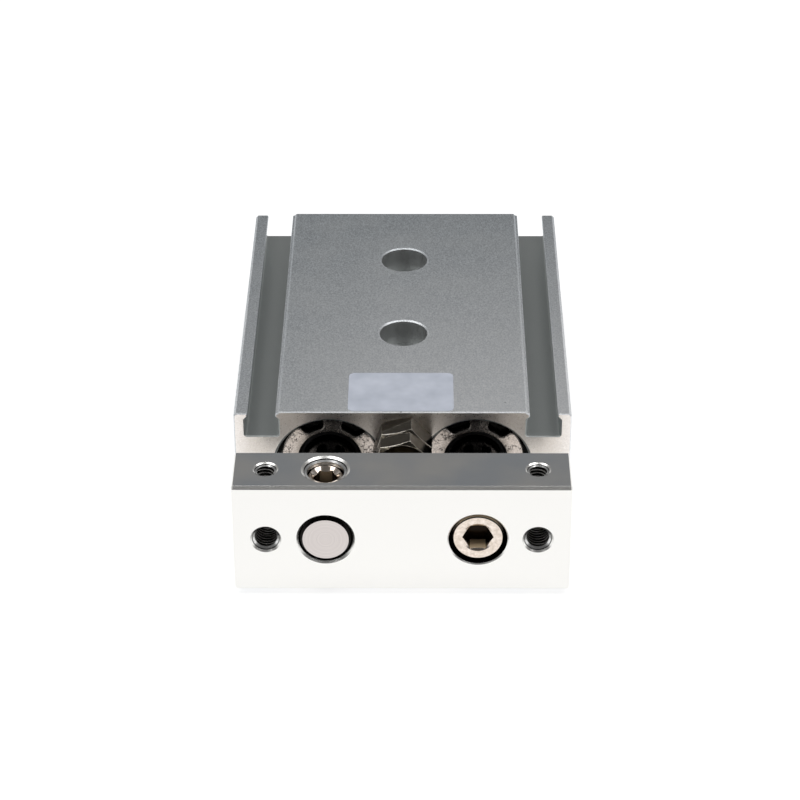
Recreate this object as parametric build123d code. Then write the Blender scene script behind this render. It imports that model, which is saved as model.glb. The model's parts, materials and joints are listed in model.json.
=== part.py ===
from build123d import *
from math import cos, radians, sin, tan
import os

# A compact guided air cylinder: two pistons side by side in one extruded housing,
# their rods joined in front by a tooling plate. All sizes are in millimetres.
# X runs across, Z up from the housing's bottom face, and the plate looks along -Y.
# The origin is at the middle of the footprint. The rods are drawn fully back.

# Bores and the metal round them
piston_bore = 20.0
middle_wall = 8.0
side_wall = 8.0
roof_wall = 2.5
seat_step = 0.5
mouth_chamfer = 0.45
corner_chamfer = 0.45
edge_break = 0.2
drill_angle = 118.0
countersink_angle = 30.0

# Sensor slots in the housing's top, just outside the bores
slot_offset = 0.1
slot_mouth = 5.3
slot_depth = 5.0
slot_undercut = 0.6
slot_lip = 0.7
slot_lip_slant = 0.65
slot_corner = 0.5
extrusion_round = 0.25
shoulder_drop = 0.4
shoulder_ledge = 0.4
shoulder_slope = 0.4

# Mounting holes on the housing's centre line
mount_hole = 5.5
mount_head_space = 9.5
mount_head_depth = 5.3
mount_rim = 0.35
mount_first = 29.5
mount_pitch = 30.0

# Air ports on both sides and the passages between the bores
port_thread = 5.0
port_depth = 5.5
port_chamfer = 0.5
passage = 2.5
front_port_gap = 3.0
rear_port_gap = 2.5
plug_recess = 0.7
plug_socket = 2.5
plug_socket_depth = 2.4

# Lengths along each bore, from the housing's front to its rear
stroke = 10.0
end_gap = 0.2
cover_setback = 3.1
cover_length = 34.9
cover_boss_length = 2.65
bumper_length = 3.5
magnet_length = 4.5
piston_head_length = 10.0
rear_gap = 1.8
head_cover_length = 8.3
rear_setback = 3.7

# Rods
rod_diameter = 10.0
rod_chamfer = 0.75
spigot = 6.0
spigot_short = 0.3
screw_groove_depth = 0.6

# Rod cover boss, with a pocket for each lug of its ring
boss_gap = 0.15
pocket_wall = 0.7
pocket_span = 32.0
pocket_round = 1.2
pocket_tip_round = 0.9
pocket_angle = 28.5
ring_turn = 4.5

# Retaining rings
ring_thickness = 1.0
ring_width = 1.6
ring_groove_depth = 0.6
lug_hole = 1.6
lug_hole_inset = 0.5
lug_clearance = 0.4
lug_round = 0.9

# Seals
seal_section = 1.0
seal_length = 5.4
seal_set_in = 0.4
dust_lip = 0.7
air_lip = 1.5
lip_relief = 0.25
o_ring_section = 1.5
o_ring_set_in = 5.0
o_ring_spare = 0.4
o_ring_flats = 8
piston_seal_width = 2.6
piston_seal_section = 1.9
piston_seal_set_in = 2.8
piston_lip = 0.8
piston_lip_drop = 0.5

# Pistons and what rides on them
hub_wall = 0.5
magnet_gap = 0.8
bumper_gap = 1.5
head_recess = 12.0
head_recess_depth = 1.5

# Tooling plate
plate_thickness = 12.0
plate_margin = 1.0
plate_chamfer = 0.55
plate_edge_round = 0.12
plate_corner_break = 0.25
front_thread = 5.0
top_thread = 4.0
top_thread_depth = 6.5
thread_inset = 6.0
thread_countersink = 0.35
rod_hole_chamfer = 0.4
rod_seat_depth = 1.5

# Cap bolt in the right rod
cap_thread = 6.0
cap_head = 10.0
cap_head_height = 6.0
cap_head_round = 0.45
cap_socket = 5.0
cap_socket_depth = 3.0
cap_socket_mouth = 6.1
cap_length = 14.0
cap_recess = 0.7
cap_side_gap = 0.4
cap_space_chamfer = 0.25
cap_hole_gap = 0.3
cap_thread_spare = 1.5

# Set screw over the left rod
set_thread = 8.0
set_length = 6.0
set_point_chamfer = 1.25
set_face_chamfer = 1.15
set_socket = 4.0
set_socket_depth = 3.2
set_socket_mouth = 5.6
set_hole_rim = 0.5

# Adjusting bolt between the bores
bolt_thread = 6.0
bolt_flats = 10.0
bolt_head_height = 4.2
bolt_length = 22.0
bolt_thread_spare = 2.0
bolt_drop = 6.4
bolt_turn = 14.5
bolt_washer_face = 0.3
nut_height = 5.0
nut_turn = 17.0
hex_chamfer_angle = 30.0
hex_face_share = 0.97
hex_edge_round = 0.15
pad_thickness = 2.6
pad_diameter = 6.0
pad_stem = 3.0
pad_stem_length = 2.4
rest_gap = 0.2

# Clearances between pieces, on the radius
seat_fit = 0.05
rod_fit = 0.03
piston_fit = 0.1
seal_fit = 0.03
press_gap = 0.02
thread_gap = 0.02

# The housing and the plate, from the bores outward
rod_pitch = piston_bore + middle_wall
body_width = rod_pitch + piston_bore + 2 * side_wall
body_height = piston_bore + 2 * roof_wall
axis_height = body_height / 2
piston_length = bumper_length + magnet_length + piston_head_length
body_length = (
    cover_setback + cover_length + stroke + end_gap + piston_length
    + rear_gap + head_cover_length + rear_setback
)
plate_gap = nut_height + bolt_head_height + pad_thickness + rest_gap
plate_width = body_width - 2 * plate_margin
plate_height = body_height - 2 * plate_margin
thread_x = plate_width / 2 - thread_inset
sides = (("left", -rod_pitch / 2), ("right", rod_pitch / 2))

# Stations along Y, from the plate's front to the housing's rear
plate_front = -(body_length + plate_gap + plate_thickness) / 2
plate_rear = plate_front + plate_thickness
plate_middle = plate_front + plate_thickness / 2
body_front = plate_rear + plate_gap
body_rear = body_front + body_length
cover_front = body_front + cover_setback
cover_rear = cover_front + cover_length
cover_shoulder = cover_front + cover_boss_length
bumper_front = cover_rear + stroke + end_gap
magnet_front = bumper_front + bumper_length
head_front = magnet_front + magnet_length
piston_rear = head_front + piston_head_length
head_cover_front = piston_rear + rear_gap
head_cover_rear = head_cover_front + head_cover_length
front_port_y = cover_rear + front_port_gap
rear_port_y = head_cover_front - rear_port_gap

# Radii that pieces share
bore_radius = piston_bore / 2
seat_radius = bore_radius + seat_step
cover_radius = seat_radius - seat_fit
rod_radius = rod_diameter / 2
spigot_radius = spigot / 2
recess_radius = rod_radius + seal_section
pocket_radius = recess_radius + pocket_wall
ring_groove = ring_thickness + 2 * seat_fit
ring_groove_radius = seat_radius + ring_groove_depth
ring_outer = ring_groove_radius - seat_fit
ring_inner = ring_outer - ring_width
boss_radius = ring_inner - boss_gap
o_ring_radius = seat_radius - press_gap - o_ring_section / 2
o_groove_radius = seat_radius - o_ring_section - 2 * press_gap
o_groove_width = o_ring_section + o_ring_spare
hub_radius = rod_radius + hub_wall
hex_face_radius = bolt_flats / 2 * hex_face_share
set_radius = set_thread / 2
set_point_radius = set_radius - set_point_chamfer


def turned(outline):
    """Turn an outline of (radius, height) points about Z."""
    with BuildPart() as turning:
        with BuildSketch(Plane.XZ):
            with BuildLine():
                Polyline(*outline, close=True)
            make_face()
        revolve(axis=Axis.Z)
    return turning.part


def turned_along_y(outline, x, z):
    """Turn an outline of (radius, y) points about a line along Y."""
    return Pos(x, 0, z) * Rot(-90, 0, 0) * turned(outline)


def drill_tip(radius):
    """Depth of the cone that a drill leaves at the bottom of a hole."""
    return radius / tan(radians(drill_angle / 2))


def countersink(width):
    """Depth of a countersink that widens a hole by this much on the radius."""
    return width * tan(radians(countersink_angle))


def facing_front(x, y, z):
    """A drawing plane seen from the front, with its own up along Z."""
    return Plane(origin=(x, y, z), x_dir=(1, 0, 0), z_dir=(0, -1, 0))


def hexagon(flats, height, turn, plane):
    """A six-sided prism that grows along the plane's normal."""
    with BuildPart() as prism:
        with BuildSketch(plane):
            RegularPolygon(flats / 2, 6, major_radius=False, rotation=turn)
        extrude(amount=height)
    return prism.part


def sector(inner, outer, middle_angle, span, corner):
    """A ring sector in the local plane, with its inner corners rounded."""
    start = middle_angle - span / 2
    with BuildSketch() as shape:
        with BuildLine():
            inner_arc = CenterArc((0, 0), inner, start, span)
            outer_arc = CenterArc((0, 0), outer, start, span)
            Line(inner_arc @ 0, outer_arc @ 0)
            Line(inner_arc @ 1, outer_arc @ 1)
        make_face()
        fillet(shape.vertices().sort_by_distance((0, 0, 0))[:2], corner)
    return shape.sketch


def lug_angles():
    """Directions of the two ring lugs, either side of the ring's gap."""
    gap_angle = 90 - ring_turn
    return (gap_angle - pocket_angle, gap_angle + pocket_angle)


def lug_span():
    """Angle that a lug fills inside its pocket."""
    side_clearance = lug_clearance / radians(1) / boss_radius
    return pocket_span - 2 * side_clearance


def near_one(edge, places):
    """Whether an edge along Y runs through one of these (x, z) places, on either side."""
    middle = edge.center()
    return any(abs(abs(middle.X) - x) + abs(middle.Z - z) < edge_break for x, z in places)


def housing_blank():
    """The extruded body: raised land, stepped shoulders and two undercut slots."""
    half = body_width / 2
    shoulder = body_height - shoulder_drop
    mouth_in = rod_pitch / 2 + bore_radius + slot_offset
    mouth_out = mouth_in + slot_mouth
    lip_bottom = shoulder - slot_lip
    undercut_top = lip_bottom - slot_lip_slant
    floor = shoulder - slot_depth
    land = mouth_in - shoulder_ledge - shoulder_slope
    right_half = [
        (0, 0),
        (half - corner_chamfer, 0),
        (half, corner_chamfer),
        (half, shoulder - corner_chamfer),
        (half - corner_chamfer, shoulder),
        (mouth_out, shoulder),
        (mouth_out, lip_bottom),
        (mouth_out + slot_undercut, undercut_top),
        (mouth_out + slot_undercut, floor),
        (mouth_in - slot_undercut, floor),
        (mouth_in - slot_undercut, undercut_top),
        (mouth_in, lip_bottom),
        (mouth_in, shoulder),
        (land + shoulder_slope, shoulder),
        (land, body_height),
        (0, body_height),
    ]
    with BuildPart() as blank:
        with BuildSketch(facing_front(0, body_rear, 0)):
            with BuildLine():
                Polyline(*right_half, close=True)
            make_face()
            mirror(about=Plane.YZ)
        extrude(amount=body_length)
        along = blank.edges().filter_by(Axis.Y)
        corners = [edge for edge in along if abs(edge.center().Z - floor) < slot_corner]
        fillet(corners, slot_corner)
        soft = [(mouth_out, shoulder), (mouth_in, shoulder), (mouth_out, lip_bottom),
                (mouth_in, lip_bottom), (land, body_height)]
        along = blank.edges().filter_by(Axis.Y)
        fillet([edge for edge in along if near_one(edge, soft)], extrusion_round)
        ends = blank.faces().filter_by(Axis.Y)
        chamfer(ends.edges(), edge_break)
    return blank.part


def bore_space(x):
    """The room for one piston and its covers: seats, ring grooves and chamfered mouths."""
    front_groove = cover_shoulder + seat_fit - ring_groove
    rear_groove = head_cover_rear - seat_fit
    outline = [
        (0, body_front),
        (seat_radius + mouth_chamfer, body_front),
        (seat_radius, body_front + mouth_chamfer),
        (seat_radius, front_groove),
        (ring_groove_radius, front_groove),
        (ring_groove_radius, front_groove + ring_groove),
        (seat_radius, front_groove + ring_groove),
        (seat_radius, cover_rear),
        (bore_radius, cover_rear),
        (bore_radius, head_cover_front),
        (seat_radius, head_cover_front),
        (seat_radius, rear_groove),
        (ring_groove_radius, rear_groove),
        (ring_groove_radius, rear_groove + ring_groove),
        (seat_radius, rear_groove + ring_groove),
        (seat_radius, body_rear - mouth_chamfer),
        (seat_radius + mouth_chamfer, body_rear),
        (0, body_rear),
    ]
    return turned_along_y(outline, x, axis_height)


def mounting_hole(y):
    """A through hole with room for a bolt head at the top and at the bottom."""
    hole = mount_hole / 2
    head = mount_head_space / 2
    rim_depth = countersink(mount_rim)
    outline = [
        (0, 0),
        (head + mount_rim, 0),
        (head, rim_depth),
        (head, mount_head_depth),
        (hole, mount_head_depth),
        (hole, body_height - mount_head_depth),
        (head, body_height - mount_head_depth),
        (head, body_height - rim_depth),
        (head + mount_rim, body_height),
        (0, body_height),
    ]
    return Pos(0, y, 0) * turned(outline)


def port_space(y):
    """A tapped port in each side, joined by a passage through both bores."""
    half = body_width / 2
    thread = port_thread / 2 + thread_gap
    outline = [
        (0, -half),
        (thread + port_chamfer, -half),
        (thread, port_chamfer - half),
        (thread, port_depth - half),
        (passage / 2, port_depth - half),
        (passage / 2, half - port_depth),
        (thread, half - port_depth),
        (thread, half - port_chamfer),
        (thread + port_chamfer, half),
        (0, half),
    ]
    return Pos(0, y, axis_height) * Rot(0, 90, 0) * turned(outline)


def bolt_space():
    """Tapped hole for the adjusting bolt, with the cone that the drill leaves."""
    radius = bolt_thread / 2 + thread_gap
    bottom = body_front + bolt_length - nut_height + bolt_thread_spare
    outline = [
        (0, body_front),
        (radius + edge_break, body_front),
        (radius, body_front + edge_break),
        (radius, bottom),
        (0, bottom + drill_tip(radius)),
    ]
    return turned_along_y(outline, 0, body_height - bolt_drop)


def housing():
    body = housing_blank()
    for _, x in sides:
        body -= bore_space(x)
    for y in (body_front + mount_first, body_front + mount_first + mount_pitch):
        body -= mounting_hole(y)
    for y in (front_port_y, rear_port_y):
        body -= port_space(y)
    return body - bolt_space()


def boss_face():
    """The boss seen from the front: a ring with two pockets, its tips rounded."""
    with BuildSketch() as face:
        Circle(boss_radius)
        Circle(recess_radius, mode=Mode.SUBTRACT)
        for angle in lug_angles():
            pocket = sector(pocket_radius, seat_radius, angle, pocket_span, pocket_round)
            add(pocket, mode=Mode.SUBTRACT)
        upper = [corner for corner in face.vertices() if corner.Y > pocket_radius / 2]
        tips = [corner for corner in upper if Vector(corner).length > boss_radius - edge_break]
        fillet(tips, pocket_tip_round)
    return face.sketch


def rod_cover(x):
    """Cover and rod bearing in one, with a boss that stands inside its ring."""
    groove = cover_rear - o_ring_set_in
    outline = [
        (recess_radius, cover_shoulder),
        (cover_radius, cover_shoulder),
        (cover_radius, groove - o_groove_width / 2),
        (o_groove_radius, groove - o_groove_width / 2),
        (o_groove_radius, groove + o_groove_width / 2),
        (cover_radius, groove + o_groove_width / 2),
        (cover_radius, cover_rear - edge_break),
        (cover_radius - edge_break, cover_rear),
        (rod_radius + rod_fit + mouth_chamfer, cover_rear),
        (rod_radius + rod_fit, cover_rear - mouth_chamfer),
        (rod_radius + rod_fit, cover_front + seal_set_in + seal_length),
        (recess_radius, cover_front + seal_set_in + seal_length),
    ]
    boss = extrude(facing_front(x, cover_shoulder, axis_height) * boss_face(), cover_boss_length)
    boss = chamfer(boss.faces().sort_by(Axis.Y)[0].edges(), edge_break)
    return turned_along_y(outline, x, axis_height) + boss


def retaining_ring(x, rear_y):
    """Open spring ring whose two lugs carry holes for the pliers."""
    lug_inner = pocket_radius + lug_clearance
    first, second = lug_angles()
    open_span = second - first
    shape = Circle(ring_outer) - Circle(ring_inner)
    beyond = ring_outer + ring_width
    shape -= sector(lug_inner, beyond, (first + second) / 2, open_span, lug_round)
    for angle in (first, second):
        shape += sector(lug_inner, ring_outer, angle, lug_span(), lug_round)
        hole_place = Rot(0, 0, angle) * Pos((lug_inner + ring_outer) / 2 - lug_hole_inset, 0)
        shape -= hole_place * Circle(lug_hole / 2)
    return extrude(facing_front(x, rear_y, axis_height) * shape, ring_thickness)


def rod_seal(x):
    """Lip seal: a dust lip in front, a groove behind it for the air to open."""
    outer = recess_radius - press_gap
    inner = rod_radius + seal_fit
    front = cover_front + seal_set_in
    rear = front + seal_length
    middle = (outer + inner) / 2
    outline = [
        (outer, front + dust_lip),
        (middle, front + lip_relief),
        (inner + lip_relief, front),
        (inner, front + lip_relief),
        (inner, front + dust_lip),
        (inner + lip_relief, front + 2 * dust_lip),
        (inner + lip_relief, rear - air_lip),
        (inner, rear - air_lip / 2),
        (inner + lip_relief / 2, rear),
        (middle, rear - air_lip / 2),
        (outer, rear),
    ]
    return turned_along_y(outline, x, axis_height)


def o_ring(x, y):
    """A squeezed ring: its round section has taken flats against its groove."""
    outline = []
    for corner in range(o_ring_flats):
        turn = radians(360 * (corner + 0.5) / o_ring_flats)
        reach = o_ring_section / 2 / cos(radians(180 / o_ring_flats))
        outline.append((o_ring_radius + reach * cos(turn), y + reach * sin(turn)))
    return turned_along_y(outline, x, axis_height)


def head_cover(x):
    """Plain disc that closes a bore at the rear, with a turned recess outside."""
    groove = head_cover_front + head_cover_length / 2
    outline = [
        (0, head_cover_front),
        (cover_radius - edge_break, head_cover_front),
        (cover_radius, head_cover_front + edge_break),
        (cover_radius, groove - o_groove_width / 2),
        (o_groove_radius, groove - o_groove_width / 2),
        (o_groove_radius, groove + o_groove_width / 2),
        (cover_radius, groove + o_groove_width / 2),
        (cover_radius, head_cover_rear),
        (head_recess / 2, head_cover_rear),
        (head_recess / 2 - edge_break, head_cover_rear - head_recess_depth),
        (0, head_cover_rear - head_recess_depth),
    ]
    return turned_along_y(outline, x, axis_height)


def piston(x):
    """Piston with a seal groove, and a hub in front for the magnet and bumper."""
    outer = bore_radius - piston_fit
    groove = head_front + piston_seal_set_in
    groove_bottom = bore_radius - piston_seal_section - 2 * seal_fit
    bore = spigot_radius + press_gap
    outline = [
        (bore, magnet_front - bumper_length / 2),
        (hub_radius, magnet_front - bumper_length / 2),
        (hub_radius, head_front),
        (outer - edge_break, head_front),
        (outer, head_front + edge_break),
        (outer, groove),
        (groove_bottom, groove),
        (groove_bottom, groove + piston_seal_width),
        (outer, groove + piston_seal_width),
        (outer, piston_rear - mouth_chamfer),
        (outer - mouth_chamfer, piston_rear),
        (bore + edge_break, piston_rear),
        (bore, piston_rear - edge_break),
    ]
    return turned_along_y(outline, x, axis_height)


def piston_seal(x):
    """Seal with a lip each side, so that it holds air in both directions."""
    outer = bore_radius - seal_fit
    inner = outer - piston_seal_section
    front = head_front + piston_seal_set_in + press_gap
    rear = front + piston_seal_width - 2 * press_gap
    middle = (front + rear) / 2
    outline = [
        (inner, front),
        (outer - lip_relief, front),
        (outer, front + lip_relief),
        (outer, front + piston_lip),
        (outer - piston_lip_drop, middle),
        (outer, rear - piston_lip),
        (outer, rear - lip_relief),
        (outer - lip_relief, rear),
        (inner, rear),
    ]
    return turned_along_y(outline, x, axis_height)


def collar(x, radius, front, rear):
    """A plain ring on the piston's hub."""
    inner = hub_radius + press_gap
    outline = [
        (inner, front),
        (radius - edge_break, front),
        (radius, front + edge_break),
        (radius, rear - edge_break),
        (radius - edge_break, rear),
        (inner, rear),
    ]
    return turned_along_y(outline, x, axis_height)


def rod_tail():
    """Rear end of a rod's outline: shoulder on the piston's hub, then the spigot."""
    shoulder = magnet_front - bumper_length / 2
    end = piston_rear - spigot_short
    return [
        (rod_radius, shoulder - edge_break),
        (rod_radius - edge_break, shoulder),
        (spigot_radius, shoulder),
        (spigot_radius, end - edge_break),
        (spigot_radius - edge_break, end),
        (0, end),
    ]


def left_rod(x):
    """Rod that passes through the plate, with a tapered groove for the set screw."""
    low = rod_radius - screw_groove_depth
    half_bottom = set_point_radius + press_gap
    half_top = half_bottom + screw_groove_depth
    outline = [
        (0, plate_front),
        (rod_radius - rod_chamfer, plate_front),
        (rod_radius, plate_front + rod_chamfer),
        (rod_radius, plate_middle - half_top),
        (low, plate_middle - half_bottom),
        (low, plate_middle + half_bottom),
        (rod_radius, plate_middle + half_top),
    ]
    return turned_along_y(outline + rod_tail(), x, axis_height)


def right_rod(x):
    """Rod that ends in a seat in the plate's back, tapped for the cap bolt."""
    front = plate_rear - rod_seat_depth
    thread = cap_thread / 2 + thread_gap
    bottom = plate_front + cap_recess + cap_head_height + cap_length + cap_thread_spare
    outline = [
        (0, bottom + drill_tip(thread)),
        (thread, bottom),
        (thread, front + edge_break),
        (thread + edge_break, front),
        (rod_radius - rod_chamfer, front),
        (rod_radius, front + rod_chamfer),
    ]
    return turned_along_y(outline + rod_tail(), x, axis_height)


def plate_blank():
    """Flat bar with broken edges, long ones at the front and back chamfered more."""
    with BuildPart() as blank:
        with BuildSketch(facing_front(0, plate_rear, axis_height)):
            Rectangle(plate_width, plate_height)
        extrude(amount=plate_thickness)
        chamfer(blank.edges().filter_by(Axis.X), plate_chamfer)
        ends = blank.faces().filter_by(Axis.X)
        chamfer(ends.edges(), plate_corner_break)
        fillet(blank.edges().filter_by(Axis.X), plate_edge_round)
    return blank.part


def tapped_through(x):
    """Tapped hole through the plate, countersunk at both faces."""
    thread = front_thread / 2 + thread_gap
    outline = [
        (0, plate_front),
        (thread + thread_countersink, plate_front),
        (thread, plate_front + thread_countersink),
        (thread, plate_rear - thread_countersink),
        (thread + thread_countersink, plate_rear),
        (0, plate_rear),
    ]
    return turned_along_y(outline, x, axis_height)


def tapped_blind(x, up):
    """Tapped hole from the plate's top or bottom towards its middle."""
    thread = top_thread / 2 + thread_gap
    half = plate_height / 2
    outline = [
        (0, half),
        (thread + thread_countersink, half),
        (thread, half - countersink(thread_countersink)),
        (thread, half - top_thread_depth),
        (0, half - top_thread_depth - drill_tip(thread)),
    ]
    facing = Rot(0, 0, 0) if up else Rot(180, 0, 0)
    return Pos(x, plate_middle, axis_height) * facing * turned(outline)


def left_rod_hole(x):
    """Hole that the left rod fills, chamfered at both faces."""
    hole = rod_radius + press_gap
    outline = [
        (0, plate_front),
        (hole + rod_hole_chamfer, plate_front),
        (hole, plate_front + rod_hole_chamfer),
        (hole, plate_rear - rod_hole_chamfer),
        (hole + rod_hole_chamfer, plate_rear),
        (0, plate_rear),
    ]
    return turned_along_y(outline, x, axis_height)


def cap_bolt_hole(x):
    """Room for the bolt head in front, and a seat for the right rod at the back."""
    head = cap_head / 2 + cap_side_gap
    hole = cap_thread / 2 + cap_hole_gap
    floor = plate_front + cap_recess + cap_head_height
    seat = rod_radius + press_gap
    outline = [
        (0, plate_front),
        (head + cap_space_chamfer, plate_front),
        (head, plate_front + cap_space_chamfer),
        (head, floor),
        (hole, floor),
        (hole, plate_rear - rod_seat_depth),
        (seat, plate_rear - rod_seat_depth),
        (seat, plate_rear - rod_hole_chamfer),
        (seat + rod_hole_chamfer, plate_rear),
        (0, plate_rear),
    ]
    return turned_along_y(outline, x, axis_height)


def set_screw_bottom():
    """Height of the set screw's point, on the floor of the rod's groove."""
    return axis_height + rod_radius - screw_groove_depth + press_gap


def set_screw_hole(x):
    """Tapped hole from the plate's top into the left rod's hole."""
    thread = set_radius + thread_gap
    top = body_height - plate_margin
    outline = [
        (0, axis_height),
        (thread, axis_height),
        (thread, top - countersink(set_hole_rim)),
        (thread + set_hole_rim, top),
        (0, top),
    ]
    return Pos(x, plate_middle, 0) * turned(outline)


def tooling_plate():
    (_, left_x), (_, right_x) = sides
    plate = plate_blank() - left_rod_hole(left_x) - cap_bolt_hole(right_x)
    plate -= set_screw_hole(left_x)
    for x in (-thread_x, thread_x):
        plate -= tapped_through(x)
        plate -= tapped_blind(x, True)
        plate -= tapped_blind(x, False)
    return plate


def set_screw(x):
    """Headless screw with a flat point, its hexagon socket sunk in a cone."""
    bottom = set_screw_bottom()
    top = bottom + set_length
    outline = [
        (0, bottom),
        (set_point_radius, bottom),
        (set_radius, bottom + set_point_chamfer),
        (set_radius, top - set_face_chamfer),
        (set_radius - set_face_chamfer, top),
        (0, top),
    ]
    mouth = set_socket_mouth / 2
    socket_plane = Plane.XY.offset(top - set_socket_depth)
    screw = turned(outline) - turned([(0, top), (mouth, top), (0, top - mouth)])
    screw -= hexagon(set_socket, set_socket_depth, 0, socket_plane)
    return Pos(x, plate_middle, 0) * screw


def cap_bolt(x):
    """Socket head bolt: rounded rim, hexagon socket with a chamfered edge."""
    front = plate_front + cap_recess
    seat = front + cap_head_height
    head = cap_head / 2
    thread = cap_thread / 2
    mouth = cap_socket_mouth / 2
    outline = [
        (0, front),
        (head, front),
        (head, seat - edge_break),
        (head - edge_break, seat),
        (thread, seat),
        (thread, seat + cap_length - edge_break),
        (thread - edge_break, seat + cap_length),
        (0, seat + cap_length),
    ]
    lead_in = [(0, front), (mouth, front), (0, front + countersink(mouth))]
    bolt = turned_along_y(outline, x, axis_height)
    rim = bolt.edges().filter_by(GeomType.CIRCLE).sort_by(Axis.Y)[0]
    bolt = fillet(rim, cap_head_round) - turned_along_y(lead_in, x, axis_height)
    socket_plane = facing_front(x, front + cap_socket_depth, axis_height)
    return bolt - hexagon(cap_socket, cap_socket_depth, 0, socket_plane)


def hex_piece(front, rear, turn):
    """Hexagon between two stations; cones take its corners off at both ends."""
    z = body_height - bolt_drop
    corner_radius = bolt_flats / 2 / cos(radians(30)) + edge_break
    drop = (corner_radius - hex_face_radius) * tan(radians(hex_chamfer_angle))
    outline = [
        (0, front),
        (hex_face_radius, front),
        (corner_radius, front + drop),
        (corner_radius, rear - drop),
        (hex_face_radius, rear),
        (0, rear),
    ]
    prism = hexagon(bolt_flats, rear - front, 90 - turn, facing_front(0, rear, z))
    prism = fillet(prism.edges().filter_by(Axis.Y), hex_edge_round)
    return prism & turned_along_y(outline, 0, z)


def adjusting_bolt():
    """Hexagon bolt with a washer face under its head, which carries a soft pad."""
    z = body_height - bolt_drop
    seat = body_front - nut_height
    front = seat - bolt_head_height
    thread = bolt_thread / 2
    end = seat + bolt_length
    shank = [
        (0, seat - bolt_washer_face),
        (hex_face_radius, seat - bolt_washer_face),
        (hex_face_radius, seat),
        (thread, seat),
        (thread, end - edge_break),
        (thread - edge_break, end),
        (0, end),
    ]
    pad_hole_radius = pad_stem / 2 + press_gap
    pad_hole = [
        (0, front),
        (pad_hole_radius, front),
        (pad_hole_radius, front + pad_stem_length + press_gap),
        (0, front + pad_stem_length + press_gap),
    ]
    head = hex_piece(front, seat - bolt_washer_face, bolt_turn)
    bolt = head + turned_along_y(shank, 0, z)
    return bolt - turned_along_y(pad_hole, 0, z)


def lock_nut():
    z = body_height - bolt_drop
    front = body_front - nut_height
    hole_radius = bolt_thread / 2 + thread_gap
    hole = [
        (0, front),
        (hole_radius, front),
        (hole_radius, body_front),
        (0, body_front),
    ]
    return hex_piece(front, body_front, nut_turn) - turned_along_y(hole, 0, z)


def bolt_bumper():
    """Soft pad with a stem pressed into the bolt's head."""
    z = body_height - bolt_drop
    rear = body_front - nut_height - bolt_head_height
    front = rear - pad_thickness
    pad = pad_diameter / 2
    stem = pad_stem / 2
    outline = [
        (0, front),
        (pad - edge_break, front),
        (pad, front + edge_break),
        (pad, rear),
        (stem, rear),
        (stem, rear + pad_stem_length),
        (0, rear + pad_stem_length),
    ]
    return turned_along_y(outline, 0, z)


def port_plug(y):
    """Short tapped plug for a port in the housing's right side."""
    radius = port_thread / 2
    outside = body_width / 2 - plug_recess
    inside = body_width / 2 - port_depth + edge_break
    outline = [
        (0, inside),
        (radius - port_chamfer, inside),
        (radius, inside + port_chamfer),
        (radius, outside - edge_break),
        (radius - edge_break, outside),
        (0, outside),
    ]
    along_x = Pos(0, y, axis_height) * Rot(0, 90, 0)
    socket = hexagon(plug_socket, plug_socket_depth, 0, Plane.XY.offset(outside - plug_socket_depth))
    return along_x * (turned(outline) - socket)


def build():
    """Every piece of the cylinder, by name."""
    (_, left_x), (_, right_x) = sides
    pieces = {
        "housing": housing(),
        "tooling_plate": tooling_plate(),
        "piston_rod_left": left_rod(left_x),
        "piston_rod_right": right_rod(right_x),
        "set_screw": set_screw(left_x),
        "cap_bolt": cap_bolt(right_x),
        "adjusting_bolt": adjusting_bolt(),
        "lock_nut": lock_nut(),
        "bolt_bumper": bolt_bumper(),
        "port_plugs": Compound(children=[port_plug(y) for y in (front_port_y, rear_port_y)]),
    }
    for side, x in sides:
        cover_groove = cover_rear - o_ring_set_in
        head_groove = head_cover_front + head_cover_length / 2
        pieces[f"rod_cover_{side}"] = rod_cover(x)
        pieces[f"rod_seal_{side}"] = rod_seal(x)
        pieces[f"cover_o_ring_{side}"] = o_ring(x, cover_groove)
        pieces[f"front_retaining_ring_{side}"] = retaining_ring(x, cover_shoulder)
        pieces[f"head_cover_{side}"] = head_cover(x)
        pieces[f"head_o_ring_{side}"] = o_ring(x, head_groove)
        pieces[f"rear_retaining_ring_{side}"] = retaining_ring(x, head_cover_rear + ring_thickness)
        pieces[f"piston_{side}"] = piston(x)
        pieces[f"piston_seal_{side}"] = piston_seal(x)
        pieces[f"piston_magnet_{side}"] = collar(x, bore_radius - magnet_gap, magnet_front, head_front)
        pieces[f"piston_bumper_{side}"] = collar(x, bore_radius - bumper_gap, bumper_front, magnet_front)
    return pieces


os.makedirs("parts", exist_ok=True)
for name, piece in build().items():
    export_step(piece, f"parts/{name}.step")
    print(name, round(piece.volume, 1))
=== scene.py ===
import json
from math import ceil, cos, pi, radians, sin, tan, tau

import bmesh
import bpy
from bpy.props import FloatProperty, FloatVectorProperty, PointerProperty, StringProperty
from mathutils import Matrix, Vector


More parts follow.
